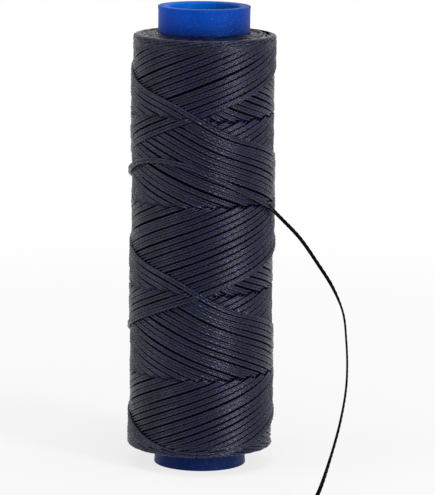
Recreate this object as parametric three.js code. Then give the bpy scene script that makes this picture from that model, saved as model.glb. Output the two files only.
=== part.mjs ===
// A spool of flat waxed thread: a plastic tube with one long thread cross-wound on it.
// Millimetres, +Z up. The origin is the centre of the tube's lower end face.
import * as THREE from "three";

// ---- driving dimensions ----

const CORE_LENGTH = 80;
const CORE_RADIUS = 7.9;
const BORE_RADIUS = 6.3;
const CORE_CHAMFER = 0.45; // inner edge at both ends
const LIP_HEIGHT = 0.15; // how far the end lips flare past the tube
const LIP_LENGTH = 1.1;

const PACKAGE_RADIUS = 12.4; // over the outermost turns
const PACKAGE_BOTTOM = 3.3;
const PACKAGE_LENGTH = 72.0;
const SHOULDER_RADIUS = 1.0;
const SHOULDER_STEPS = 4;

const THREAD_WIDTH = 1.0;
const THREAD_THICKNESS = 0.35;
const FLAT_SHARE = 0.6; // flat part of the thread's faces, as a share of its width

const HELIX_PITCH = 28.82; // rise of the thread in one turn
const LOOSE_PITCH = 38; // the loose last strand falls more steeply
const DOUBLE_TRAVERSES = 4; // up and down again, before the last rising run
const END_BEND = 0.13; // half of a reversal at the package's ends, in turns
const LOOSE_BEND = 0.1; // half of the last strand's reversal, in turns
const LEVEL_BEND = 0.07; // a reversal changes level within this part of a turn on each side
const LOOSE_TOP_ANGLE = -31.4; // degrees, where the last strand stops rising
const LOOSE_TOP_HEIGHT = 56.2;
const LIFT_START_ANGLE = -150; // the last strand climbs onto the others from here
const LIFT_END_ANGLE = -100;
const EXIT_ANGLE = 60; // degrees, where the last strand leaves the package

const FIT_GAP = 0.3; // between pieces that touch
const LAYER_GAP = 0.4; // from the inner layers to the turns, over the facets' sag
const CROSSING_GAP = 0.47; // from a turn to the one that crosses over it
const MARGIN_GAP = 0.1; // from the outermost turn to the package's end

const CORE_SEGMENTS = 64;
const DRUM_SEGMENTS = 48;
const STEPS_PER_TURN = 24;

const TAIL_STEPS = 34;
const TAIL_SIDES = 8;
// The free end's route, from just past the package down to the ground and along it.
const TAIL_POINTS = [
  [13.4, -2.6, 43.9],
  [17.0, -0.8, 39.9],
  [20.2, -1.0, 35.4],
  [22.7, -2.6, 31.7],
  [24.5, -5.4, 27.7],
  [25.0, -9.0, 23.6],
  [25.1, -12.8, 19.7],
  [24.8, -16.4, 16.3],
  [23.8, -20.8, 11.9],
  [22.0, -26.2, 6.7],
  [19.8, -32.0, 1.9],
  [18.2, -36.0, 0.6],
  [16.8, -41.0, 0.5],
  [15.4, -46.0, 0.5],
];

// How the printed least gap is measured.
const GAP_CUTS = 8; // points along each edge of the tube's faces
const GAP_NEAR_STEPS = 3; // sections this near along the thread are not compared
const GAP_REACH = 1.5; // farther points are not compared

// ---- sizes that follow ----

const LEVEL_STEP = THREAD_THICKNESS + CROSSING_GAP;
const FALLING_RADIUS = PACKAGE_RADIUS - THREAD_THICKNESS / 2;
const RISING_RADIUS = FALLING_RADIUS - LEVEL_STEP;
const DRUM_RADIUS = RISING_RADIUS - THREAD_THICKNESS / 2 - LAYER_GAP;
const DRUM_BORE = CORE_RADIUS + FIT_GAP;
const PACKAGE_TOP = PACKAGE_BOTTOM + PACKAGE_LENGTH;

// ---- materials ----

const material = (color, roughness) =>
  new THREE.MeshStandardMaterial({ color, roughness, metalness: 0 });
const BLUE_PLASTIC = material(0x1f4fae, 0.45);
const DARK_LAYERS = material(0x0b0e17, 0.85);
const WAXED_THREAD = material(0x1b2235, 0.6);

// ---- helpers ----

const degrees = (angle) => (angle * Math.PI) / 180;

// Place on a cylinder: angle 0 faces -Y, and the angle grows towards +X.
function onCylinder(radius, angle, height) {
  return new THREE.Vector3(radius * Math.sin(angle), -radius * Math.cos(angle), height);
}

// Points of a quarter round from one angle to another, for a lathe profile.
function roundCorner(x, y, radius, from, to, steps) {
  const points = [];
  for (let i = 0; i <= steps; i++) {
    const angle = degrees(from + ((to - from) * i) / steps);
    points.push(new THREE.Vector2(x + radius * Math.cos(angle), y + radius * Math.sin(angle)));
  }
  return points;
}

function turned(profile, segments) {
  const geometry = new THREE.LatheGeometry([...profile, profile[0]], segments);
  return geometry.rotateX(Math.PI / 2);
}

// ---- core tube ----

function coreTube() {
  const lip = CORE_RADIUS + LIP_HEIGHT;
  const profile = [
    [BORE_RADIUS, CORE_CHAMFER],
    [BORE_RADIUS + CORE_CHAMFER, 0],
    [lip, 0],
    [lip, LIP_LENGTH / 3],
    [CORE_RADIUS, LIP_LENGTH],
    [CORE_RADIUS, CORE_LENGTH - LIP_LENGTH],
    [lip, CORE_LENGTH - LIP_LENGTH / 3],
    [lip, CORE_LENGTH],
    [BORE_RADIUS + CORE_CHAMFER, CORE_LENGTH],
    [BORE_RADIUS, CORE_LENGTH - CORE_CHAMFER],
  ].map(([radius, height]) => new THREE.Vector2(radius, height));
  return turned(profile, CORE_SEGMENTS);
}

// ---- inner layers of thread, a plain drum with round shoulders ----

function innerLayers() {
  const shoulder = DRUM_RADIUS - SHOULDER_RADIUS;
  const low = PACKAGE_BOTTOM + SHOULDER_RADIUS;
  const high = PACKAGE_TOP - SHOULDER_RADIUS;
  const profile = [
    new THREE.Vector2(DRUM_BORE, PACKAGE_BOTTOM),
    ...roundCorner(shoulder, low, SHOULDER_RADIUS, -90, 0, SHOULDER_STEPS),
    ...roundCorner(shoulder, high, SHOULDER_RADIUS, 0, 90, SHOULDER_STEPS),
    new THREE.Vector2(DRUM_BORE, PACKAGE_TOP),
  ];
  return turned(profile, DRUM_SEGMENTS);
}

// ---- outer layer: one thread, wound up and down ----

// Corners of the unrolled winding, oldest first: turn, height, and half of the bend round it.
function windingCorners() {
  const overshoot = (HELIX_PITCH * END_BEND) / 2;
  const inset = THREAD_WIDTH / 2 + MARGIN_GAP;
  const low = PACKAGE_BOTTOM + inset - overshoot;
  const high = PACKAGE_TOP - inset + overshoot;
  const looseTurn = LOOSE_TOP_ANGLE / 360;
  const lastLow = looseTurn - (LOOSE_TOP_HEIGHT - low) / HELIX_PITCH;
  const traverse = (high - low) / HELIX_PITCH;
  const corners = [];
  for (let i = 2 * DOUBLE_TRAVERSES; i >= 0; i--) {
    const height = i % 2 === 0 ? low : high;
    corners.push({ turn: lastLow - i * traverse, height, bend: END_BEND });
  }
  corners.push({ turn: looseTurn, height: LOOSE_TOP_HEIGHT, bend: LOOSE_BEND });
  const exitTurn = EXIT_ANGLE / 360;
  const exitHeight = LOOSE_TOP_HEIGHT - LOOSE_PITCH * (exitTurn - looseTurn);
  corners.push({ turn: exitTurn, height: exitHeight, bend: 0 });
  return corners;
}

const { lerp, smoothstep } = THREE.MathUtils;

function heightOnRun(from, to, turn) {
  return lerp(from.height, to.height, (turn - from.turn) / (to.turn - from.turn));
}

// Height at a turn: straight runs, with a parabola round each corner.
function windingHeight(corners, turn) {
  const last = corners.length - 1;
  const i = corners.findIndex((corner, k) => k === last || turn < corner.turn + corner.bend);
  const corner = corners[i];
  if (i === last || turn < corner.turn - corner.bend) {
    return heightOnRun(corners[i - 1], corner, turn);
  }
  const start = heightOnRun(corners[i - 1], corner, corner.turn - corner.bend);
  const end = heightOnRun(corner, corners[i + 1], corner.turn + corner.bend);
  const t = (turn - corner.turn) / (2 * corner.bend) + 0.5;
  return (1 - t) ** 2 * start + 2 * t * (1 - t) * corner.height + t ** 2 * end;
}

// Rising runs lie at level 0, falling runs over them at level 1, the loose strand at level 2.
function windingLevel(corners, turn) {
  let level = 0;
  for (let i = 1; i < corners.length - 2; i++) {
    const direction = i % 2 === 1 ? 1 : -1;
    const middle = corners[i].turn;
    level += direction * smoothstep(turn, middle - LEVEL_BEND, middle + LEVEL_BEND);
  }
  return level + 2 * smoothstep(turn, LIFT_START_ANGLE / 360, LIFT_END_ANGLE / 360);
}

// Centres of the thread's sections, from the oldest turn to where the thread leaves the package.
function windingCentres() {
  const corners = windingCorners();
  const first = Math.ceil((corners[0].turn + corners[0].bend) * STEPS_PER_TURN);
  const final = Math.round((EXIT_ANGLE / 360) * STEPS_PER_TURN);
  const centres = [];
  for (let step = first; step <= final; step++) {
    const turn = step / STEPS_PER_TURN;
    const radius = RISING_RADIUS + LEVEL_STEP * windingLevel(corners, turn);
    centres.push(onCylinder(radius, 2 * Math.PI * turn, windingHeight(corners, turn)));
  }
  return centres;
}

// The thread's six-sided section: how far each point lies across and out.
function threadSection() {
  const [across, out] = [THREAD_WIDTH / 2, THREAD_THICKNESS / 2];
  const flat = across * FLAT_SHARE;
  return [[across, 0], [flat, out], [-flat, out], [-across, 0], [-flat, -out], [flat, -out]];
}

function sectionRings(centres) {
  const section = threadSection();
  return centres.map((centre, i) => {
    const before = centres[Math.max(0, i - 1)];
    const after = centres[Math.min(centres.length - 1, i + 1)];
    const along = after.clone().sub(before).normalize();
    const out = new THREE.Vector3(centre.x, centre.y, 0);
    out.addScaledVector(along, -out.dot(along)).normalize();
    const across = new THREE.Vector3().crossVectors(out, along);
    return section.map(([a, b]) =>
      centre.clone().addScaledVector(across, a).addScaledVector(out, b));
  });
}

function tubeFromRings(rings) {
  const sides = rings[0].length;
  const index = [];
  for (let i = 0; i + 1 < rings.length; i++) {
    for (let k = 0; k < sides; k++) {
      const [a, b] = [i * sides + k, i * sides + ((k + 1) % sides)];
      index.push(a, b, b + sides, a, b + sides, a + sides);
    }
  }
  const end = (rings.length - 1) * sides;
  for (let k = 1; k + 1 < sides; k++) {
    index.push(0, k + 1, k, end, end + k, end + k + 1);
  }
  const geometry = new THREE.BufferGeometry().setFromPoints(rings.flat());
  geometry.setIndex(index);
  geometry.computeVertexNormals();
  return geometry;
}

// Points on the tube's edges and faces, each with the number of its section.
function surfacePoints(rings) {
  const points = [];
  rings.slice(1).forEach((ring, step) => ring.forEach((corner, k) => {
    const before = rings[step];
    const next = (k + 1) % ring.length;
    for (let i = 0; i < GAP_CUTS; i++) {
      const edge = before[k].clone().lerp(corner, i / GAP_CUTS);
      const nextEdge = before[next].clone().lerp(ring[next], i / GAP_CUTS);
      points.push({ point: edge, step }, { point: edge.clone().lerp(nextEdge, 0.5), step });
    }
  }));
  return points;
}

const NEAR = [-1, 0, 1];
const AROUND = NEAR.flatMap((x) => NEAR.flatMap((y) => NEAR.map((z) => [x, y, z])));

// Least distance from the tube to itself, past the nearest sections.
function leastSelfGap(rings) {
  const points = surfacePoints(rings);
  const cellOf = (point) => point.toArray().map((value) => Math.floor(value / GAP_REACH));
  const cells = new Map();
  for (const entry of points) {
    const name = cellOf(entry.point).join();
    cells.set(name, [...(cells.get(name) ?? []), entry]);
  }
  let least = GAP_REACH;
  for (const { point, step } of points) {
    const cell = cellOf(point);
    for (const shift of AROUND) {
      const name = cell.map((value, axis) => value + shift[axis]).join();
      for (const other of cells.get(name) ?? []) {
        if (other.step - step <= GAP_NEAR_STEPS) continue;
        least = Math.min(least, point.distanceTo(other.point));
      }
    }
  }
  return least;
}

function outerLayer(centres) {
  const rings = sectionRings(centres);
  console.log(`Outer layer: least gap to itself ${leastSelfGap(rings).toFixed(3)} mm`);
  return tubeFromRings(rings);
}

// ---- free tail: the same thread, from the package down to the ground ----

function tailCurve(centres) {
  const [before, last] = centres.slice(-2);
  const along = last.clone().sub(before).normalize();
  const start = last.clone().addScaledVector(along, FIT_GAP);
  const straight = start.clone().addScaledVector(along, THREAD_WIDTH);
  const chosen = TAIL_POINTS.map((point) => new THREE.Vector3(...point));
  return new THREE.CatmullRomCurve3([start, straight, ...chosen]);
}

function threadTail(centres) {
  const curve = tailCurve(centres);
  console.log(`Tail: ${curve.getLength().toFixed(1)} mm long`);
  const outline = new THREE.Shape();
  outline.absellipse(0, 0, THREAD_WIDTH / 2, THREAD_THICKNESS / 2, 0, 2 * Math.PI);
  const section = new THREE.Shape(outline.getPoints(TAIL_SIDES).slice(0, TAIL_SIDES));
  const options = { extrudePath: curve, steps: TAIL_STEPS };
  return new THREE.ExtrudeGeometry(section, options);
}

// ---- assembly ----

const centres = windingCentres();
const spool = new THREE.Group();

function add(name, geometry, surface) {
  const mesh = new THREE.Mesh(geometry, surface);
  mesh.name = name;
  spool.add(mesh);
}

add("core_tube", coreTube(), BLUE_PLASTIC);
add("thread_inner_layers", innerLayers(), DARK_LAYERS);
add("thread_outer_layer", outerLayer(centres), WAXED_THREAD);
add("thread_tail", threadTail(centres), WAXED_THREAD);

export default spool;
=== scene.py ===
import math

import bpy
import numpy as np
from mathutils import Matrix, Vector


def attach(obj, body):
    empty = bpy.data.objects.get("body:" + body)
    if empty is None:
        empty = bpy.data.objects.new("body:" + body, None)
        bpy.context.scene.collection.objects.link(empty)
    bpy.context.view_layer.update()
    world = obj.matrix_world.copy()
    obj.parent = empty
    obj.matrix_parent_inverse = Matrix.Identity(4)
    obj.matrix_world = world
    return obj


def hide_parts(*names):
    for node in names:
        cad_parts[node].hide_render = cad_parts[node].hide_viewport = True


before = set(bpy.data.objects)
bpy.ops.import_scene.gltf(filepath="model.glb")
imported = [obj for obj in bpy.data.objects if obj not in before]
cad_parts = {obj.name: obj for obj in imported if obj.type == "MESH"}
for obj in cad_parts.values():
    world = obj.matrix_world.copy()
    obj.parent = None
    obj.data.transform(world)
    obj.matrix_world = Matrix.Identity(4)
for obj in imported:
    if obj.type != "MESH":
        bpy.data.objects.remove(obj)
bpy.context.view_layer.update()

# A spool of flat waxed thread: a plastic core tube with one thread cross-wound on it.
# Lengths are in millimetres up to the point where a mesh is made, which turns them into
# metres. Places round the spool are in turns from the front, to the right.
MM = 0.001

# ---- sizes ----

CORE_LENGTH = 80.0
CORE_RADIUS = 7.9
BORE_RADIUS = 6.3
LIP_HEIGHT = 0.07
LIP_LENGTH = 0.8
LIP_FLAT = LIP_LENGTH / 3  # the part of a lip that stands out fully
CORE_CHAMFER = 0.3
CORE_FILLET = 0.12
INNER_COLOR_RADIUS = BORE_RADIUS + CORE_CHAMFER + 0.1  # the tube's inner colour, painted lighter as light in the bore, ends here
ROUND_SEGMENTS = 128

PACKAGE_BOTTOM = 3.3
PACKAGE_TOP = 75.3
TOP_RADIUS = 12.55  # over the newest turns, at the package's top
BOTTOM_RADIUS = 12.80  # and at its foot
TOP_SHOULDER = 1.0
BOTTOM_SHOULDER = 0.6
SHOULDER_END = 0.98  # the share of a shoulder's round that the turns follow

THREAD_WIDTH = 1.01
THREAD_THICKNESS = 0.44
STITCH = 1.04  # length of one stitch of the flat braid
STITCH_SAMPLES = 5
STITCH_SLANT = 2.0  # how far a stitch leans along the thread, by the distance across it
STITCH_FULLNESS = 0.6  # the power that rounds the stitches out; 1 is a plain sine
STITCH_DEPTH = 0.34  # as a share of the thread's thickness
STITCH_LEVEL = 0.6  # the height on a stitch, 0 to 1, that lies on the section's outline
EDGE_LEVEL = 0.3  # how high the stitches are at the thread's very edge,
EDGE_RISE = 5.0  # how fast they rise from there,
GROOVE_RISE = 3.3  # and from the groove in the thread's middle
SAMPLE = STITCH / STITCH_SAMPLES  # from one section of the thread to the next

THREADS_PER_PITCH = 27  # turns that lie side by side in one pitch
TRAVERSE = 2.5 + 0.5 / THREADS_PER_PITCH  # turns from one end of the package to the other
HELIX_RADIUS = 12.2  # where the helix angle is taken
END_BEND = 0.144  # half of a reversal at the package's ends, in turns
TOP_TURN = 171.8 / 360  # where the newest reversal at the top lies
FALLING_STEP = 0.34  # how far the newest falling turn stands over the oldest
RISING_STEP = 0.20  # the same for the rising turns
PARTS_OF_WINDING = 4  # pieces that the winding is cut into

# Ages count the turns of a kind, rising or falling, that were laid later. A turn lies under
# the crossing turns that are newer than it and over the older ones.
COVER_START = -0.05  # ages past its own at which a turn starts to come up over the others,
COVER_END = 0.55  # and at which it lies wholly over them
HIDDEN_COVER = 0.995  # turns that are covered more than this are left out,
KEPT_NEW = 0.9  # but not next to the newest crossing turns,
KEPT_OLD = 0.5  # nor next to the oldest
NEWEST_EASE = 0.9  # ages over which the newest turn evens out the step in the surface
RISEN = 0.03  # turns before a reversal by which a turn has come up from under the others
RISE_LENGTH = 0.015  # turns that it takes for that

SHINGLE_TILT = 0.5  # slope across the thread, where the turns crowd most
SHINGLE_REACH = 0.85  # the share of a reversal's bend on which the turns tilt
SHINGLE_EASE = 0.02  # in turns, at the reversal itself
SIDE_DRIFT = 0.07  # the size of the turns' slowest stray wave, sideways
DEPTH_DRIFT = 0.04  # and in depth
DRIFT_RATES = (0.0, 0.9, 2.3, 4.1)  # in waves per turn
DRIFT_FADE = 0.5  # how much weaker each faster wave is
STEADY_END = 1.0  # from the package's ends: here no turn drifts sideways,
DRIFTING = 6.0  # and from here on they drift fully
SWAY = 1.2  # how far the falling turns stray near the crossings in front
SWAY_HEIGHTS = (62.0, 32.1)
SWAY_REACH = 7.0  # the height over which it dies away, up and down
SWAY_GATHER = 2.6  # how closely the sway keeps to the front
SWAY_PHASE = 0.17  # radians
SWAY_ROUNDS = 4  # of the search for the height that a swayed turn would have without it

DEPTHS_LEVEL = 3.6  # how deep the drum under the turns lies, in thicknesses of the thread
DEPTHS_GAP = 0.02  # between the drum and the core
DEPTHS_INSET = 0.9
DEPTHS_FILLET = 0.6

END_FACE_REACH = 0.05  # in turns, each way from a reversal
END_FACE_STEPS = 17  # sections of each reversal
END_FACE_START = 0.3  # from the core to the first layer of reversals
END_FACE_MARGIN = 1.0  # from the last layer to the package's surface, at least
END_FACE_LEVEL = 0.42  # from one layer of reversals to the next
END_FACE_RISE = 0.35  # how much higher the reversals stand at the core
END_FACE_SHIFT = 0.2  # how far they stray round the package, as a share of their spacing,
END_FACE_LEAN = 3.0  # off their circle, in millimetres a turn,
END_FACE_DEPTH = 0.45  # into the package,
END_FACE_STRAY = 0.15  # and to and from the core
CORE_CLEARANCE = 0.03  # that the reversals keep to the core

LAST_FRONT = 5  # the turn at which the last strand passes the front for the last time
LOOSE_PITCH = 38.0  # of the last strand as it falls from its loose top
LOOSE_TOP_TURN = -31.4 / 360
LOOSE_TOP_HEIGHT = 56.2
LOOSE_BEND = 0.1  # half of the bend there, in turns
SLACK_START = 0.6  # turns before the loose top at which the last strand leaves its helix,
SLACK_END = 0.16  # and at which it runs straight for the loose top
LOOSE_SEAT = 0.45  # how far its middle lies over the turns, in thicknesses
SEAT_SAMPLES = 12  # each way, over which it bridges the turns' steps
LOOSE_LIFT = 0.15  # how far it stands off the package on its left,
LIFT_START = 0.3  # from this many turns before the loose top,
LIFT_FULL = 0.17  # fully from here
LIFT_FALLS = 0.15  # to here
EXIT_TURN = 60.0 / 360  # where the free end starts
EXIT_RADIUS = 13.045
LEAVE_TURN = 45.0 / 360  # from here the last strand runs straight off the package
LEAVE_EASE = 0.12  # turns over which it comes up for that

TAIL_WIDTH = 0.76
TAIL_THICKNESS = 0.26
TAIL_NARROWS = 3.0  # the length over which the thread takes on the tail's size
TAIL_SPAN_STEPS = 24  # of the curve between two points of the route

# The free end's route, from just past the package down to the ground and along it.
TAIL_POINTS = [
    (13.4, -2.6, 43.9),
    (17.0, -0.8, 39.9),
    (20.2, -1.0, 35.4),
    (22.7, -2.6, 31.7),
    (24.5, -5.4, 27.7),
    (25.0, -9.0, 23.6),
    (25.1, -12.8, 19.7),
    (24.8, -16.4, 16.3),
    (23.8, -20.8, 11.9),
    (22.0, -26.2, 6.7),
    (19.8, -32.0, 1.9),
    (18.2, -36.0, 0.6),
    (16.8, -41.0, 0.5),
    (15.4, -46.0, 0.5),
]
# Which way the free end's flat face looks, by the share of its length.
FACE_TURNS = [
    (0.00, (0.87, -0.50, 0.0)),
    (0.06, (0.95, -0.30, 0.1)),
    (0.14, (0.75, -0.62, 0.25)),
    (0.26, (0.75, -0.62, 0.3)),
    (0.34, (1.0, 0.0, 0.1)),
    (0.56, (1.0, 0.05, 0.1)),
    (0.70, (1.0, -0.08, 0.12)),
    (0.80, (0.78, -0.40, 0.45)),
    (0.90, (0.0, -0.2, 1.0)),
    (1.00, (0.0, 0.0, 1.0)),
]

# The map that the finish is baked on.
ROW_HEIGHT = 2.6
CAP_CELL = 0.4  # the side of a cell, which holds the end cap of a strip,
CAP_RADIUS = 0.4  # and the cap's radius in it, as a share of its side
MAP_MARGIN = 0.01

rng = np.random.default_rng(seed=7)


def smoothstep(low, high, x):
    t = np.clip((x - low) / (high - low), 0.0, 1.0)
    return t * t * (3 - 2 * t)


# ---- camera ----

IMAGE_HEIGHT = 495  # pixels
SENSOR = 36.0  # of the image's long side
FOCAL_PIXELS = 3493.9
CAMERA_DISTANCE = 605.8
CAMERA_ELEVATION = math.radians(9.738)
CAMERA_ROLL = math.radians(0.646)
AIM = Vector((2.71, 0.0, 37.95))
CLIP_START, CLIP_END = 0.01, 50.0  # metres


def make_camera():
    data = bpy.data.cameras.new("camera")
    data.sensor_width = SENSOR
    data.lens = FOCAL_PIXELS / IMAGE_HEIGHT * SENSOR
    data.clip_start = CLIP_START
    data.clip_end = CLIP_END
    camera = bpy.data.objects.new("camera", data)
    bpy.context.collection.objects.link(camera)
    forward = Vector((0, math.cos(CAMERA_ELEVATION), -math.sin(CAMERA_ELEVATION)))
    level = Vector((1, 0, 0))
    upright = level.cross(forward)
    right = math.cos(CAMERA_ROLL) * level + math.sin(CAMERA_ROLL) * upright
    up = right.cross(forward)
    turn = Matrix((right, up, -forward)).transposed().to_4x4()
    place = (AIM - CAMERA_DISTANCE * forward) * MM
    camera.matrix_world = Matrix.Translation(place) @ turn
    bpy.context.scene.camera = camera


make_camera()


# ---- materials ----

# Scales of noise count per metre, but the filaments' count per millimetre.
GRAIN_SCALE = 5200

WAX_SCALE = 900
WAX_BAND = (0.42, 0.58)  # of its noise, from bare thread to full wax
LEAST_WAX = 0.05
CROWN_BAND = (0.3, 1.0)  # heights on a stitch, from the hollows' painted shade to the crowns' painted sheen
FILAMENT_SCALE = (5.0, 1.2, 1.0)  # across and along the braid's filaments
FILAMENT_BAND = (0.35, 0.65)
LEAST_STREAK = 0.15
PAINT_BAND = (0.05, 0.8)  # of the wax and painted sheen, from the hollows' colour, painted shade, to the crowns' colour, painted sheen
ROUGH_HOLLOW = 0.38
POLISHED_WAX = 0.06
POLISHED_FROM = 0.4  # the share of wax and painted sheen that is fully polished
WAX_TINT = (0.80, 0.86, 1.0, 1)
FILAMENT_SHARE = 0.6  # of the filaments in the fine relief; the grain makes the rest
FINE_RELIEF = 0.000065  # metres

DEPTHS_SCALE = 1500
# Painted shade: the drum's colours are darker than the thread's, for the shadow between the
# turns that show.
DEPTHS_LOW = (0.0015, 0.0022, 0.0080)
DEPTHS_HIGH = (0.0040, 0.0055, 0.0180)

MATT = 0.9

CLOUD_SCALE = 260
CLOUD_BAND = (0.3, 0.7)
CLOUD_VALUES = (0.88, 1.12)
CORE_SIDE = 0.008  # metres from the middle, just past the tube's side
PAINTED_SIDE_SHADING = (1.35, 0.62)  # painted light and shade: the tube's brightness at its left side and its right
FROST_BAND = (0.64, 0.78)  # of the grain's noise, from bare plastic to a full speck
FROST_STRENGTH = 0.35
FROST_COLOR = (0.30, 0.42, 0.80, 1)
FROST_AT_LEFT = 0.2  # the share of the frost specks, partly painted sparkle, that shows at the tube's left side
FROST_BUMP = 0.25
FROST_RELIEF = 0.00004  # metres
PLASTIC_ROUGHNESS = 0.5
PLASTIC_IOR = 1.25
PLASTIC_TINT = (0.12, 0.4, 1, 1)
PLASTIC_GLOW = 0.15  # how much light it lets in under its surface
GLOW_REACH = (0.0004, 0.0008, 0.002)  # metres


def new_material(name):
    material = bpy.data.materials.new(name)
    material.use_nodes = True
    nodes = material.node_tree.nodes
    return material, nodes, material.node_tree.links, nodes["Principled BSDF"]


def map_range(nodes, links, source, low, high, to_low, to_high):
    """A Map Range node from low..high to to_low..to_high."""
    node = nodes.new("ShaderNodeMapRange")
    node.inputs["From Min"].default_value = low
    node.inputs["From Max"].default_value = high
    node.inputs["To Min"].default_value = to_low
    node.inputs["To Max"].default_value = to_high
    links.new(source, node.inputs["Value"])
    return node.outputs["Result"]


def math_node(nodes, links, operation, first, second):
    node = nodes.new("ShaderNodeMath")
    node.operation = operation
    links.new(first, node.inputs[0])
    links.new(second, node.inputs[1])
    return node.outputs["Value"]


def noise(nodes, links, place, scale, detail):
    node = nodes.new("ShaderNodeTexNoise")
    node.inputs["Scale"].default_value = scale
    node.inputs["Detail"].default_value = detail
    links.new(place, node.inputs["Vector"])
    return node.outputs["Fac"]


def attribute(nodes, name, output):
    node = nodes.new("ShaderNodeAttribute")
    node.attribute_name = name
    return node.outputs[output]


def color_ramp(nodes, links, source, stops):
    """A colour ramp. stops: (position, colour), in rising order."""
    node = nodes.new("ShaderNodeValToRGB")
    elements = node.color_ramp.elements
    for k, (position, color) in enumerate(stops):
        element = elements[k] if k < 2 else elements.new(position)
        element.position = position
        element.color = (*color, 1)
    links.new(source, node.inputs["Fac"])
    return node.outputs["Color"]


def add_bump(nodes, links, shader, height, strength, distance):
    """Fine relief from a noise. distance is in metres."""
    bump = nodes.new("ShaderNodeBump")
    bump.inputs["Strength"].default_value = strength
    bump.inputs["Distance"].default_value = distance
    links.new(height, bump.inputs["Height"])
    links.new(bump.outputs["Normal"], shader.inputs["Normal"])


def thread_material(name, hollow, crown, ior):
    """Waxed braid: its hollows are painted dark as shade and the crowns of its stitches paler
    as sheen, over random patches of polished wax and fine filaments that run along them. hollow
    and crown are colours: painted shade and painted sheen."""
    material, nodes, links, shader = new_material(name)
    place = nodes.new("ShaderNodeTexCoord").outputs["Object"]
    stretch = nodes.new("ShaderNodeMapping")
    stretch.inputs["Scale"].default_value = FILAMENT_SCALE
    links.new(attribute(nodes, "thread_weave", "Vector"), stretch.inputs["Vector"])
    filaments = noise(nodes, links, stretch.outputs["Vector"], scale=1.0, detail=2)
    wax = noise(nodes, links, place, WAX_SCALE, detail=3)
    height = attribute(nodes, "thread_height", "Fac")
    on_crown = map_range(nodes, links, height, *CROWN_BAND, 0, 1)
    wax_there = map_range(nodes, links, wax, *WAX_BAND, LEAST_WAX, 1)
    streaks = map_range(nodes, links, filaments, *FILAMENT_BAND, LEAST_STREAK, 1)
    # Painted light: the crowns of the stitches take the paler colour as painted sheen and the
    # hollows the dark one as painted shade; the wax patches and filaments vary it at random.
    wax_and_painted_sheen = math_node(nodes, links, "MULTIPLY", on_crown, wax_there)
    wax_and_painted_sheen = math_node(nodes, links, "MULTIPLY", wax_and_painted_sheen, streaks)
    paint = color_ramp(nodes, links, wax_and_painted_sheen, zip(PAINT_BAND, (hollow, crown)))
    rough = map_range(nodes, links, wax_and_painted_sheen, 0, POLISHED_FROM, ROUGH_HOLLOW, POLISHED_WAX)
    links.new(paint, shader.inputs["Base Color"])
    links.new(rough, shader.inputs["Roughness"])
    shader.inputs["IOR"].default_value = ior
    shader.inputs["Specular Tint"].default_value = WAX_TINT
    relief = nodes.new("ShaderNodeMix")
    relief.inputs["Factor"].default_value = FILAMENT_SHARE
    links.new(noise(nodes, links, place, GRAIN_SCALE, detail=4), relief.inputs["A"])
    links.new(filaments, relief.inputs["B"])
    add_bump(nodes, links, shader, relief.outputs["Result"], 1.0, FINE_RELIEF)
    return material


def dark_material():
    """The turns underneath, in shadow between the outer ones."""
    material, nodes, links, shader = new_material("thread_depth")
    place = nodes.new("ShaderNodeTexCoord").outputs["Object"]
    patches = noise(nodes, links, place, DEPTHS_SCALE, detail=2)
    paint = color_ramp(nodes, links, patches, [(0, DEPTHS_LOW), (1, DEPTHS_HIGH)])
    links.new(paint, shader.inputs["Base Color"])
    shader.inputs["Roughness"].default_value = MATT
    shader.inputs["Specular IOR Level"].default_value = 0.0
    return material


def core_material(name, stops):
    """Frosted blue plastic, with painted light and shade: stops (height in mm, colour), from
    the foot to the top, and a side painted lighter on the left and darker on the right.
    """
    material, nodes, links, shader = new_material(name)
    place = nodes.new("ShaderNodeTexCoord").outputs["Object"]
    parts = nodes.new("ShaderNodeSeparateXYZ")
    links.new(place, parts.inputs[0])
    aside = (parts.outputs["X"], -CORE_SIDE, CORE_SIDE)
    up = map_range(nodes, links, parts.outputs["Z"], 0, CORE_LENGTH * MM, 0, 1)
    paint = color_ramp(nodes, links, up, [(height / CORE_LENGTH, c) for height, c in stops])
    cloud = noise(nodes, links, place, CLOUD_SCALE, detail=5)
    mottle = map_range(nodes, links, cloud, *CLOUD_BAND, *CLOUD_VALUES)
    # Painted light and shade: the random clouds are made lighter at the tube's left side and
    # darker at its right.
    value = math_node(
        nodes, links, "MULTIPLY", mottle, map_range(nodes, links, *aside, *PAINTED_SIDE_SHADING)
    )
    clouds_and_side_shade = nodes.new("ShaderNodeHueSaturation")
    links.new(value, clouds_and_side_shade.inputs["Value"])
    links.new(paint, clouds_and_side_shade.inputs["Color"])
    # Pale frost specks: the plastic's own frosting and partly painted sparkle, so fewer show on
    # the left side, away from the key light.
    frost = noise(nodes, links, place, GRAIN_SCALE, detail=1)
    specks = map_range(nodes, links, frost, *FROST_BAND, 0, FROST_STRENGTH)
    frost_and_sparkle_by_side = map_range(nodes, links, *aside, FROST_AT_LEFT, 1)
    frosted = nodes.new("ShaderNodeMix")
    frosted.data_type = "RGBA"
    factor, color_a, color_b = (frosted.inputs[k] for k in (0, 6, 7))
    links.new(math_node(nodes, links, "MULTIPLY", specks, frost_and_sparkle_by_side), factor)
    links.new(clouds_and_side_shade.outputs["Color"], color_a)
    color_b.default_value = FROST_COLOR
    mixed_color = frosted.outputs[2]
    links.new(mixed_color, shader.inputs["Base Color"])
    shader.inputs["Roughness"].default_value = PLASTIC_ROUGHNESS
    shader.inputs["IOR"].default_value = PLASTIC_IOR
    shader.inputs["Specular Tint"].default_value = PLASTIC_TINT
    shader.inputs["Subsurface Weight"].default_value = PLASTIC_GLOW
    shader.inputs["Subsurface Radius"].default_value = GLOW_REACH
    add_bump(nodes, links, shader, frost, FROST_BUMP, FROST_RELIEF)
    return material


# hollow: painted shade in the stitches' hollows; crown: painted sheen on their crowns.
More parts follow.
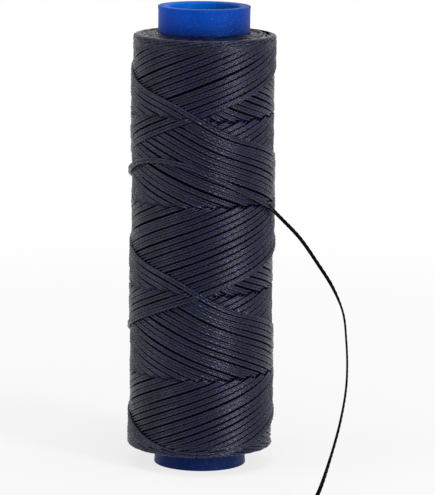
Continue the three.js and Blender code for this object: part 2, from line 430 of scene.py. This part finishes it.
WAXED = thread_material(
    "waxed_thread",
    hollow=(0.0004, 0.0009, 0.0095),
    crown=(0.0085, 0.0112, 0.0600),
    ior=1.40,
)
# A darker copy of the thread's finish for the end faces, which are the same thread: its darker
# colours are painted shade.
END_FACES = thread_material(
    "thread_ends",
    hollow=(0.0008, 0.0012, 0.0050),
    crown=(0.0090, 0.0110, 0.0380),
    ior=1.22,
)
# A near-black copy of the thread's finish for the free end, which is the same thread: painted
# shade.
FREE_END = thread_material(
    "thread_free",
    hollow=(0.0003, 0.0003, 0.0008),
    crown=(0.0018, 0.0021, 0.0045),
    ior=1.09,
)
DEPTH = dark_material()
# Painted shade in the outside's stops: darker at the foot and next to the winding, brighter
# towards the open top.
BLUE_OUTSIDE = core_material("core_outside", [
    (0.0, (0.007, 0.014, 0.085)),
    (4.0, (0.006, 0.013, 0.080)),
    (PACKAGE_TOP, (0.003, 0.017, 0.145)),
    (PACKAGE_TOP + 2, (0.003, 0.037, 0.280)),
    (CORE_LENGTH, (0.002, 0.052, 0.380)),
])
# Painted light in the inside's stops: the bore is painted brighter towards its open top, where
# light comes in.
BLUE_INSIDE_PAINTED_LIGHT = core_material("core_inside", [
    (0.0, (0.003, 0.016, 0.090)),
    (60.0, (0.002, 0.040, 0.250)),
    (76.0, (0.001, 0.085, 0.450)),
    (CORE_LENGTH, (0.001, 0.112, 0.540)),
])


# ---- meshes ----


def mesh_object(name, points, faces, materials):
    """points: in millimetres; faces: each a list of point numbers."""
    data = bpy.data.meshes.new(name)
    data.from_pydata((np.asarray(points) * MM).tolist(), [], [list(map(int, f)) for f in faces])
    data.validate()
    data.shade_smooth()
    for material in materials:
        data.materials.append(material)
    piece = bpy.data.objects.new(name, data)
    bpy.context.collection.objects.link(piece)
    return piece


def fillet(corners, radius, steps=3, longest=0.45):
    """Rounds the corners of a closed outline of (r, z) points. longest: the most that a
    round takes of a side, as a share of it."""
    rounded = []
    count = len(corners)
    for i in range(count):
        before, here, after = (np.array(corners[(i + k) % count]) for k in (-1, 0, 1))
        ways = [before - here, after - here]
        reach = min(radius, *(longest * np.linalg.norm(way) for way in ways))
        start, end = (here + way / np.linalg.norm(way) * reach for way in ways)
        for t in np.linspace(0, 1, steps + 1):
            rounded.append((1 - t) ** 2 * start + 2 * t * (1 - t) * here + t * t * end)
    return rounded


def turned(name, outline, materials, inner_rings=()):
    """A closed (r, z) outline turned round the Z axis. Faces of inner_rings get material 1."""
    angles = np.linspace(0, 2 * np.pi, ROUND_SEGMENTS, endpoint=False)
    rings = len(outline)
    points = [
        (r * math.sin(a), -r * math.cos(a), z) for a in angles for r, z in outline
    ]
    faces = []
    for i in range(ROUND_SEGMENTS):
        here = i * rings
        beside = (i + 1) % ROUND_SEGMENTS * rings
        for k in range(rings):
            following = (k + 1) % rings
            faces.append((here + k, beside + k, beside + following, here + following))
    piece = mesh_object(name, points, faces, materials)
    if len(materials) > 1:
        inside = np.tile([k in inner_rings for k in range(rings)], ROUND_SEGMENTS)
        piece.data.polygons.foreach_set("material_index", inside.astype(np.int32))
    return piece


# ---- core tube ----


def make_core():
    lip = CORE_RADIUS + LIP_HEIGHT
    bore_edge = BORE_RADIUS + CORE_CHAMFER
    top = CORE_LENGTH
    corners = [
        (BORE_RADIUS, CORE_CHAMFER),
        (bore_edge, 0),
        (lip, 0),
        (lip, LIP_FLAT),
        (CORE_RADIUS, LIP_LENGTH),
        (CORE_RADIUS, top - LIP_LENGTH),
        (lip, top - LIP_FLAT),
        (lip, top),
        (bore_edge, top),
        (BORE_RADIUS, top - CORE_CHAMFER),
    ]
    outline = fillet(corners, CORE_FILLET)
    inside = {k for k, (r, _) in enumerate(outline) if r < INNER_COLOR_RADIUS}
    core = turned("core_tube_plastic", outline, [BLUE_OUTSIDE, BLUE_INSIDE_PAINTED_LIGHT], inside)
    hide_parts("core_tube")
    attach(core, "root")


make_core()


# ---- thread ----

TAU = 2 * math.pi
CIRCUMFERENCE = TAU * HELIX_RADIUS
# Rise of the thread in one turn: the reversals lie half a thread inside the package's ends.
HELIX_PITCH = (PACKAGE_TOP - PACKAGE_BOTTOM - THREAD_WIDTH) / (TRAVERSE - END_BEND)
HELIX_COS = CIRCUMFERENCE / math.hypot(CIRCUMFERENCE, HELIX_PITCH)
SAMPLE_TURN = SAMPLE * HELIX_COS / CIRCUMFERENCE

# The thread's section: (place across, as a share of half its width; height, as a share of
# its thickness). The first points are the face that shows, the rest its back.
SECTION = np.array([
    (-1.00, -0.42), (-0.90, 0.05), (-0.68, 0.48), (-0.32, 0.44), (0.0, -0.50),
    (0.32, 0.44), (0.68, 0.48), (0.90, 0.05), (1.00, -0.42), (0.7, -0.60), (-0.7, -0.60),
])
FACE_POINTS = 9

# The unrolled winding is a zigzag: each leg climbs or falls from end to end of the package.
END_CUT = HELIX_PITCH * END_BEND / 2  # what a reversal's bend takes off its corner
TOP_CORNER = PACKAGE_TOP - THREAD_WIDTH / 2 + END_CUT
BOTTOM_CORNER = TOP_CORNER - TRAVERSE * HELIX_PITCH
LEGS = 2 * THREADS_PER_PITCH
LEG_SPACING = 10.0  # keeps the legs' filaments apart in their texture
START_TURN = TOP_TURN - (LEGS - 1) * TRAVERSE
# The ages of both kinds of turn are 0.5 at the newest reversal at the top.
RISING_PHASE = TOP_CORNER / HELIX_PITCH - TOP_TURN - 0.5 / THREADS_PER_PITCH
FALLING_PHASE = TOP_CORNER / HELIX_PITCH + TOP_TURN + 0.5 / THREADS_PER_PITCH


def thread_section(along, width=THREAD_WIDTH, thickness=THREAD_THICKNESS):
    """Where the section's points lie across the thread, how far they stand out, and their
    weave: the place along the thread, which slants with the stitches, the place across,
    and the height on a stitch, 0 to 1. The stitches are two columns of slanting ovals."""
    share = SECTION[:, 0]
    across = share * np.broadcast_to(width, len(along))[:, None] / 2
    phase = along[:, None] / STITCH + STITCH_SLANT * np.abs(across) / STITCH
    half_a_stitch_on = np.where(share > 0, 0.5, 0.0)
    oval = np.abs(np.sin(math.pi * (phase + half_a_stitch_on))) ** STITCH_FULLNESS
    # The stitches drop at the thread's edges and in its middle groove; there the colour also
    # turns to the hollows' painted shade.
    crown = oval * np.minimum(1, EDGE_RISE * (1 - np.abs(share)) + EDGE_LEVEL)
    crown *= np.minimum(1, GROOVE_RISE * np.abs(share))
    crown[:, FACE_POINTS:] = 0
    relief = SECTION[:, 1] + STITCH_DEPTH * (crown - STITCH_LEVEL)
    out = relief * np.broadcast_to(thickness, len(along))[:, None]
    weave = np.stack([phase * STITCH, across, crown], -1)
    return across, out, weave


def on_package(radius, turn, height):
    angle = TAU * turn
    return np.stack([radius * np.sin(angle), -radius * np.cos(angle), height], -1)


def set_across(turn, height, across, circumference=CIRCUMFERENCE):
    """Where a section's points lie round the package and in height, square to the run of
    the thread's middle line."""
    slope = np.gradient(height, turn) / circumference
    cos = 1 / np.hypot(1, slope)
    sin = slope * cos
    turns = turn[:, None] - across * sin[:, None] / circumference
    heights = height[:, None] + across * cos[:, None]
    return turns, heights


def corner_cut(distance):
    """How far a reversal's bend stays inside its corner, by the distance from it in turns."""
    cut = HELIX_PITCH * (END_BEND / 2 + distance**2 / (2 * END_BEND) - distance)
    return np.where(distance < END_BEND, cut, 0)


def straightened(height):
    """The height a place would have if the turns ran straight into sharp reversals."""
    bend = HELIX_PITCH * END_BEND

    def unbent(distance):
        inside = np.maximum(distance - bend / 2, 0)
        return np.where(distance < bend, np.sqrt(2 * bend * inside), distance)

    middle = (TOP_CORNER + BOTTOM_CORNER) / 2
    from_top = TOP_CORNER - unbent(TOP_CORNER - height)
    from_bottom = BOTTOM_CORNER + unbent(height - BOTTOM_CORNER)
    return np.where(height > middle, from_top, from_bottom)


def sway(turn, height):
    """How far the falling turns stray from a regular helix at a place."""
    angle = TAU * turn
    beside = np.sin(2 * angle + SWAY_PHASE) * np.exp(SWAY_GATHER * (np.cos(angle) - 1))
    near = sum(np.exp(-(((height - middle) / SWAY_REACH) ** 2)) for middle in SWAY_HEIGHTS)
    return -SWAY * beside * near


def ages(turn, height):
    """How many turns ago the rising and the falling thread passed a place, 0 to the number
    of threads in a pitch."""
    lift = straightened(height) / HELIX_PITCH
    regular = height
    for _ in range(SWAY_ROUNDS):
        regular = height - sway(turn, regular)
    fall = straightened(regular) / HELIX_PITCH
    rising = THREADS_PER_PITCH * np.mod(lift - turn - RISING_PHASE, 1)
    falling = THREADS_PER_PITCH * np.mod(FALLING_PHASE - fall - turn, 1)
    return rising, falling


def shoulder_drop(height):
    """How far the package's rounded ends draw in."""
    drop = np.zeros_like(height)
    for radius, past in (
        (TOP_SHOULDER, height - (PACKAGE_TOP - TOP_SHOULDER)),
        (BOTTOM_SHOULDER, PACKAGE_BOTTOM + BOTTOM_SHOULDER - height),
    ):
        reach = np.clip(past, 0, SHOULDER_END * radius)
        drop += radius - np.sqrt(radius**2 - reach**2)
    return drop


def surface_radius(height, rising_age, falling_age):
    """The package's radius: it tapers, and sinks with the age of its turns."""
    up = (height - PACKAGE_BOTTOM) / (PACKAGE_TOP - PACKAGE_BOTTOM)
    newest = BOTTOM_RADIUS + (TOP_RADIUS - BOTTOM_RADIUS) * up
    sunk = FALLING_STEP * falling_age + RISING_STEP * rising_age
    return newest - sunk / THREADS_PER_PITCH


DRIFT_PHASES = rng.uniform(0, TAU, (2, LEGS, len(DRIFT_RATES)))


def wander(turn, leg, kind, size):
    """A slow, smooth drift that differs from leg to leg. kind: 0 sideways, 1 in depth."""
    total = np.zeros_like(turn)
    for k, rate in enumerate(DRIFT_RATES):
        wave = np.sin(turn * rate * TAU + DRIFT_PHASES[kind, leg, k])
        total += wave / (1 + DRIFT_FADE * k)
    return size * total


def zigzag():
    """The winding's middle line, for all its samples: turn, height, the number of its leg
    and how far into the leg it is, in turns."""
    turn = np.arange(START_TURN, START_TURN + LEGS * TRAVERSE, SAMPLE_TURN)
    leg = np.floor((turn - START_TURN) / TRAVERSE).astype(int)
    way = np.where(leg % 2 == 0, 1.0, -1.0)  # legs rise and fall by turns
    into = turn - START_TURN - leg * TRAVERSE
    height = np.where(way > 0, BOTTOM_CORNER, TOP_CORNER) + way * HELIX_PITCH * into
    height += way * corner_cut(into) - way * corner_cut(TRAVERSE - into)
    height += np.where(way < 0, sway(turn, height), 0)
    return turn, height, leg, into


def covered(crossing_age, age, rising, left):
    """How far a turn lies under the turns that cross it, from 0, over them, to 1. left: how
    much is left of its leg, in turns."""
    as_old = np.where(rising, age + 1, age)
    cover = 1 - smoothstep(as_old + COVER_START, as_old + COVER_END, crossing_age)
    return cover * smoothstep(RISEN, RISEN + RISE_LENGTH, left)


def shingled(rising, into):
    """Near the ends the turns crowd and overlap like shingles, the newer one on top: how
    much they tilt."""
    from_end = np.minimum(into, TRAVERSE - into)
    crowd = np.clip(1 - from_end / (SHINGLE_REACH * END_BEND), 0, 1)
    crowd *= smoothstep(0, SHINGLE_EASE, from_end)
    return SHINGLE_TILT * crowd * np.where(rising, 1, -1)


def winding_rings():
    """Sections of all the turns: their points, whether they show, and their weave."""
    turn, height, leg, into = zigzag()
    from_end = np.minimum(height - PACKAGE_BOTTOM, PACKAGE_TOP - height)
    drift = wander(turn, leg, 0, SIDE_DRIFT) * smoothstep(STEADY_END, DRIFTING, from_end)
    across, out, weave = thread_section(np.arange(len(turn)) * SAMPLE)
    turns, heights = set_across(turn, height, across + drift[:, None])

    rising = (leg % 2 == 0)[:, None]
    age = (THREADS_PER_PITCH - 1 - leg // 2)[:, None]
    newest = ~rising & (age == 0)
    age_rising, age_falling = ages(turns, heights)
    own = np.broadcast_to(age + 0.5, turns.shape)
    crossing = np.where(rising, age_falling, age_rising)
    cover = covered(crossing, age, rising, (TRAVERSE - into)[:, None])
    cover = np.where(newest, 0, cover)

    ages_here = np.where(rising, (own, crossing), (crossing, own))
    surface = surface_radius(heights, *ages_here)
    oldest = THREADS_PER_PITCH
    evened = RISING_STEP * smoothstep(oldest - NEWEST_EASE, oldest, crossing)
    surface += np.where(newest, evened, 0)
    level = surface - THREAD_THICKNESS * (0.5 + cover)
    level += wander(turn, leg, 1, DEPTH_DRIFT)[:, None]
    tilt = shingled(rising, into[:, None])
    radius = level + out + tilt * across - shoulder_drop(heights)
    points = on_package(radius, turns, heights)

    at_a_step = (crossing.min(1) < KEPT_NEW) | (crossing.max(1) > oldest - KEPT_OLD)
    shows = (cover.min(1) <= HIDDEN_COVER) | at_a_step
    weave[..., 1] += LEG_SPACING * leg[:, None]
    return points, shows, weave


def bake_map(place, sides, caps):
    """The map that the finish is baked on: the strips' faces laid out in rows, and their end
    caps in cells over the rows. place: how far along its strip each section lies."""
    row_length = math.sqrt((place[-1] + SAMPLE) * ROW_HEIGHT)
    row, along = np.divmod(place, row_length)
    face_height = ROW_HEIGHT / (sides + 1)
    low = np.stack(np.broadcast_arrays(
        along[:, None], row[:, None] * ROW_HEIGHT + np.arange(sides) * face_height
    ), -1)
    face = np.array([(0, 0), (SAMPLE, 0), (SAMPLE, face_height), (0, face_height)])
    quads = low[:, :, None] + face
    rows_height = (row[-1] + 1) * ROW_HEIGHT
    in_a_row = max(1, int(row_length / CAP_CELL))
    cap_row, column = np.divmod(np.arange(caps), in_a_row)
    angles = np.linspace(0, TAU, sides, endpoint=False)
    ring = CAP_RADIUS * CAP_CELL * np.stack([np.cos(angles), np.sin(angles)], -1)
    middle = (np.stack([column, cap_row], -1) + 0.5) * CAP_CELL + (0, rows_height)
    cells = middle[:, None] + ring
    side = max(row_length + SAMPLE, rows_height + (cap_row[-1] + 1) * CAP_CELL)
    flat = np.vstack([quads.reshape(-1, 2), cells.reshape(-1, 2)])
    return MAP_MARGIN + (1 - 2 * MAP_MARGIN) * flat / side


def strip_object(name, rings, linked, weave, material):
    """Joins neighbouring sections into closed strips. linked[i] is for sections i and i + 1."""
    count, sides = rings.shape[:2]
    first = np.flatnonzero(linked)
    k = np.arange(sides)
    a = first[:, None] * sides + k
    b = first[:, None] * sides + (k + 1) % sides
    quads = np.stack([a, a + sides, b + sides, b], -1).reshape(-1, 4)
    joined_before = np.r_[False, linked]
    joined_after = np.r_[linked, False]
    used = joined_before | joined_after
    starts = np.flatnonzero(used & ~joined_before)
    ends = np.flatnonzero(used & ~joined_after)
    start_caps = starts[:, None] * sides + k
    end_caps = ends[:, None] * sides + k[::-1]
    points_used = np.repeat(used, sides)
    new = np.full(count * sides, -1)
    new[points_used] = np.arange(points_used.sum())
    faces = [*new[quads].tolist(), *new[start_caps].tolist(), *new[end_caps].tolist()]
    piece = mesh_object(name, rings.reshape(-1, 3)[points_used], faces, [material])
    weave = weave.reshape(-1, 3)[points_used].astype(np.float32)
    height = piece.data.attributes.new("thread_height", "FLOAT", "POINT")
    height.data.foreach_set("value", weave[:, 2])
    place = piece.data.attributes.new("thread_weave", "FLOAT_VECTOR", "POINT")
    place.data.foreach_set("vector", (weave * (1, 1, 0)).astype(np.float32).ravel())
    run = np.cumsum(np.r_[0, linked]) * SAMPLE
    layer = piece.data.uv_layers.new(name="OFBake")
    corners = bake_map(run[first], sides, len(starts) + len(ends))
    layer.data.foreach_set("uv", corners.astype(np.float32).ravel())
    return piece


def make_winding():
    """All the turns that show, in parts with about the same number of sections."""
    points, shows, weave = winding_rings()
    linked = shows[:-1] & shows[1:]
    links_so_far = np.cumsum(linked)
    share = links_so_far[-1] / PARTS_OF_WINDING
    for part in range(PARTS_OF_WINDING):
        low, high = np.searchsorted(links_so_far, (part * share, (part + 1) * share))
        here = slice(low, high + 1)
        name = f"thread_turns_{part + 1}"
        piece = strip_object(name, points[here], linked[low:high], weave[here], WAXED)
        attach(piece, "root")
    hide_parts("thread_outer_layer")


make_winding()


def make_depths():
    """The older turns: a dark drum close under the ones that show."""
    radius = TOP_RADIUS - DEPTHS_LEVEL * THREAD_THICKNESS
    inner = CORE_RADIUS + DEPTHS_GAP
    low, high = PACKAGE_BOTTOM + DEPTHS_INSET, PACKAGE_TOP - DEPTHS_INSET
    corners = [(inner, low), (radius, low), (radius, high), (inner, high)]
    drum = turned("thread_depths", fillet(corners, DEPTHS_FILLET), [DEPTH])
    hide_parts("thread_inner_layers")
    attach(drum, "root")


make_depths()


def end_face_turn(end, level, start):
    """One reversal on an end face: its points and weave. end: 1 at the top, -1 at the foot;
    level: its distance from the axis; start: where it lies round the package."""
    lean = rng.uniform(-1, 1) * END_FACE_LEAN
    span = np.linspace(-END_FACE_REACH, END_FACE_REACH, END_FACE_STEPS)
    inside = HELIX_PITCH * span**2 / (2 * END_BEND) + rng.uniform(0, END_FACE_DEPTH)
    edge = PACKAGE_TOP if end > 0 else PACKAGE_BOTTOM
    edge += end * END_FACE_RISE * (TOP_RADIUS - level) / (TOP_RADIUS - CORE_RADIUS)
    height = edge - end * (THREAD_WIDTH / 2 + inside)
    across, out, weave = thread_section((span + END_FACE_REACH) * TAU * level)
    turns, heights = set_across(span, height, across, TAU * level)
    stray = rng.uniform(-END_FACE_STRAY, END_FACE_STRAY)
    radius = level + lean * span[:, None] + out + stray
    radius = np.maximum(radius, CORE_RADIUS + CORE_CLEARANCE)
    return on_package(radius, start + turns, heights), weave


def make_end_faces():
    """The older reversals, seen end on between the core and the newest turns."""
    rings, weaves = [], []
    levels = np.arange(
        CORE_RADIUS + END_FACE_START, TOP_RADIUS - END_FACE_MARGIN, END_FACE_LEVEL
    )
    for end in (1, -1):
        for level in levels:
            phase = rng.uniform(0, 1)
            for loop in range(THREADS_PER_PITCH):
                shift = rng.uniform(-END_FACE_SHIFT, END_FACE_SHIFT)
                start = phase + (loop + shift) / THREADS_PER_PITCH
                points, weave = end_face_turn(end, level, start)
                rings.append(points)
                weaves.append(weave)
    linked = np.arange(1, len(rings) * END_FACE_STEPS) % END_FACE_STEPS != 0
    piece = strip_object(
        "thread_end_faces", np.concatenate(rings), linked, np.concatenate(weaves), END_FACES
    )
    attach(piece, "root")


make_end_faces()


# ---- last strand and free end ----


def last_heights(turn, corner):
    """The last strand's heights: up its helix, slack from the back on, over the loose top,
    which lies at the turn corner, and down to where it leaves the package."""
    into = turn - TOP_TURN - TRAVERSE
    regular = BOTTOM_CORNER + HELIX_PITCH * into + corner_cut(into)
    slack_line = LOOSE_TOP_HEIGHT - HELIX_PITCH * (corner - turn)
    sag = smoothstep(corner - SLACK_START, corner - SLACK_END, turn)
    before = regular * (1 - sag) + slack_line * sag
    after = LOOSE_TOP_HEIGHT - LOOSE_PITCH * (turn - corner)
    t = np.clip((turn - corner) / (2 * LOOSE_BEND) + 0.5, 0, 1)
    start = LOOSE_TOP_HEIGHT - HELIX_PITCH * LOOSE_BEND
    end = LOOSE_TOP_HEIGHT - LOOSE_PITCH * LOOSE_BEND
    bend = (1 - t) ** 2 * start + 2 * t * (1 - t) * LOOSE_TOP_HEIGHT + t * t * end
    height = np.where(np.abs(turn - corner) < LOOSE_BEND, bend, before)
    return np.where(turn >= corner + LOOSE_BEND, after, height)


def last_levels(turn, height, corner):
    """How far from the axis the last strand runs: it bridges the steps of the turns under
    it, stands off a little before the loose top, and ends straight off the package."""
    top = surface_radius(height, *ages(turn, height))
    window = 2 * SEAT_SAMPLES + 1
    padded = np.pad(top, SEAT_SAMPLES, mode="edge")
    smooth = np.convolve(padded, np.ones(window) / window, "valid")
    rise = LOOSE_LIFT * smoothstep(corner - LIFT_START, corner - LIFT_FULL, turn)
    rise *= 1 - smoothstep(corner - LIFT_FALLS, corner, turn)
    level = smooth + THREAD_THICKNESS * LOOSE_SEAT + rise
    leave = LEAVE_TURN + LAST_FRONT
    leave_radius = EXIT_RADIUS * math.cos(TAU * (EXIT_TURN - LEAVE_TURN))
    ease = smoothstep(leave - LEAVE_EASE, leave, turn)
    level = level * (1 - ease) + leave_radius * ease
    straight = leave_radius / np.cos(TAU * np.maximum(turn - leave, 0))
    return np.where(turn > leave, straight, level)


def make_last_strand():
    """The newest strand. Gives the point at which it leaves the package."""
    first_turn = TOP_TURN + TRAVERSE
    last_turn = EXIT_TURN + LAST_FRONT
    turn = np.arange(first_turn, last_turn + SAMPLE_TURN / 2, SAMPLE_TURN)
    corner = LOOSE_TOP_TURN + LAST_FRONT
    height = last_heights(turn, corner)
    level = last_levels(turn, height, corner)
    across, out, weave = thread_section(np.arange(len(turn)) * SAMPLE)
    turns, heights = set_across(turn, height, across)
    radius = level[:, None] + out - shoulder_drop(heights)
    points = on_package(radius, turns, heights)
    linked = np.ones(len(turn) - 1, bool)
    piece = strip_object("thread_last_strand", points, linked, weave, WAXED)
    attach(piece, "root")
    return on_package(level, turn, height)[-1]


def through(points):
    """A centripetal Catmull-Rom curve through the points."""
    points = [np.array(p, float) for p in points]
    points = [2 * points[0] - points[1], *points, 2 * points[-1] - points[-2]]
    curve = []
    for i in range(1, len(points) - 2):
        p0, p1, p2, p3 = points[i - 1 : i + 3]
        t1 = math.sqrt(np.linalg.norm(p1 - p0))
        t2 = t1 + math.sqrt(np.linalg.norm(p2 - p1))
        t3 = t2 + math.sqrt(np.linalg.norm(p3 - p2))
        for t in np.linspace(t1, t2, TAIL_SPAN_STEPS, endpoint=False):
            a1 = (t1 - t) / t1 * p0 + t / t1 * p1
            a2 = (t2 - t) / (t2 - t1) * p1 + (t - t1) / (t2 - t1) * p2
            a3 = (t3 - t) / (t3 - t2) * p2 + (t - t2) / (t3 - t2) * p3
            b1 = (t2 - t) / t2 * a1 + t / t2 * a2
            b2 = (t3 - t) / (t3 - t1) * a2 + (t - t1) / (t3 - t1) * a3
            curve.append((t2 - t) / (t2 - t1) * b1 + (t - t1) / (t2 - t1) * b2)
    curve.append(points[-2])
    return np.array(curve)


def evenly(curve, step):
    """Points at even distances along a curve."""
    lengths = np.r_[0, np.cumsum(np.linalg.norm(np.diff(curve, axis=0), axis=1))]
    samples = np.arange(0, lengths[-1], step)
    return np.stack([np.interp(samples, lengths, curve[:, k]) for k in range(3)], -1)


def face_directions(tangent):
    """Which way the free end's flat face looks, section by section, square to its run."""
    share = np.linspace(0, 1, len(tangent))
    shares = [s for s, _ in FACE_TURNS]
    ways = np.array([way for _, way in FACE_TURNS])
    face = np.stack([np.interp(share, shares, ways[:, k]) for k in range(3)], -1)
    face -= (face * tangent).sum(1)[:, None] * tangent
    return face / np.linalg.norm(face, axis=1)[:, None]


def make_free_end(exit_point):
    path = evenly(through([exit_point, *TAIL_POINTS]), SAMPLE)
    tangent = np.gradient(path, axis=0)
    tangent /= np.linalg.norm(tangent, axis=1)[:, None]
    face = face_directions(tangent)
    side = np.cross(face, tangent)
    along = np.arange(len(path)) * SAMPLE
    drawn = smoothstep(0, TAIL_NARROWS, along)
    width = THREAD_WIDTH + (TAIL_WIDTH - THREAD_WIDTH) * drawn
    thickness = THREAD_THICKNESS + (TAIL_THICKNESS - THREAD_THICKNESS) * drawn
    across, out, weave = thread_section(along, width, thickness)
    rings = path[:, None] + across[..., None] * side[:, None] + out[..., None] * face[:, None]
    linked = np.ones(len(path) - 1, bool)
    piece = strip_object("thread_free_end", rings, linked, weave, FREE_END)
    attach(piece, "root")
    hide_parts("thread_tail")


make_free_end(make_last_strand())


# ---- floor, background and light ----

FLOOR_REACH = 1.5  # metres, each way from the spool
FLOOR_GREY = 0.9
FADE_START, FADE_END = 0.03, 0.25  # metres from the spool: from here to there
FADE_LEAST = 0.75  # the floor fades from this share of the background's white to all of it
WORLD_LIGHT = 0.4
WORLD_SEEN = 1.0


def seen_ray(nodes, links):
    """1 for what is seen directly, in a reflection or through the object, else 0."""
    path = nodes.new("ShaderNodeLightPath")
    camera, glossy = path.outputs["Is Camera Ray"], path.outputs["Is Glossy Ray"]
    seen = math_node(nodes, links, "MAXIMUM", camera, glossy)
    return math_node(nodes, links, "MAXIMUM", seen, path.outputs["Is Transmission Ray"])


def floor_material():
    """Matt and pale, and it turns into the white background away from the spool."""
    material, nodes, links, shader = new_material("pale_floor")
    shader.inputs["Base Color"].default_value = (FLOOR_GREY, FLOOR_GREY, FLOOR_GREY, 1)
    shader.inputs["Roughness"].default_value = MATT
    shader.inputs["Specular IOR Level"].default_value = 0.0
    glow = nodes.new("ShaderNodeEmission")
    distance = nodes.new("ShaderNodeVectorMath")
    distance.operation = "LENGTH"
    links.new(nodes.new("ShaderNodeTexCoord").outputs["Object"], distance.inputs[0])
    away = distance.outputs["Value"]
    fade = map_range(nodes, links, away, FADE_START, FADE_END, FADE_LEAST, 1)
    share = math_node(nodes, links, "MULTIPLY", seen_ray(nodes, links), fade)
    mix = nodes.new("ShaderNodeMixShader")
    links.new(share, mix.inputs["Fac"])
    links.new(shader.outputs["BSDF"], mix.inputs[1])
    links.new(glow.outputs["Emission"], mix.inputs[2])
    links.new(mix.outputs["Shader"], nodes["Material Output"].inputs["Surface"])
    return material


def make_floor():
    low, high = -FLOOR_REACH, FLOOR_REACH
    data = bpy.data.meshes.new("floor")
    corners = [(low, low, 0), (high, low, 0), (high, high, 0), (low, high, 0)]
    data.from_pydata(corners, [], [(0, 1, 2, 3)])
    data.materials.append(floor_material())
    floor = bpy.data.objects.new("floor", data)
    bpy.context.collection.objects.link(floor)


def make_world():
    world = bpy.data.worlds.new("studio")
    bpy.context.scene.world = world
    world.use_nodes = True
    nodes, links = world.node_tree.nodes, world.node_tree.links
    background = nodes["Background"]
    background.inputs["Color"].default_value = (1, 1, 1, 1)
    seen = seen_ray(nodes, links)
    strength = map_range(nodes, links, seen, 0, 1, WORLD_LIGHT, WORLD_SEEN)
    links.new(strength, background.inputs["Strength"])


def soft_box(name, azimuth, elevation, distance, width, height, power):
    """A soft box that looks at the spool's middle. Azimuth 0 is the camera's side; angles
    are in degrees, lengths in metres."""
    a, e = math.radians(azimuth), math.radians(elevation)
    aim = Vector((0, 0, CORE_LENGTH / 2 * MM))
    way = Vector((math.sin(a) * math.cos(e), -math.cos(a) * math.cos(e), math.sin(e)))
    data = bpy.data.lights.new(name, "AREA")
    data.shape = "RECTANGLE"
    data.size, data.size_y = width, height
    data.energy = power
    light = bpy.data.objects.new(name, data)
    light.location = aim + way * distance
    light.rotation_mode = "QUATERNION"
    light.rotation_quaternion = way.to_track_quat("Z", "Y")
    bpy.context.collection.objects.link(light)


make_floor()
make_world()
soft_box("key", azimuth=45, elevation=12, distance=0.6, width=0.12, height=0.34, power=2.8)
soft_box("left", azimuth=-70, elevation=10, distance=0.6, width=0.30, height=0.5, power=1.0)
soft_box("above", azimuth=10, elevation=75, distance=0.7, width=0.4, height=0.4, power=1.5)

bpy.context.scene.view_settings.view_transform = "Standard"
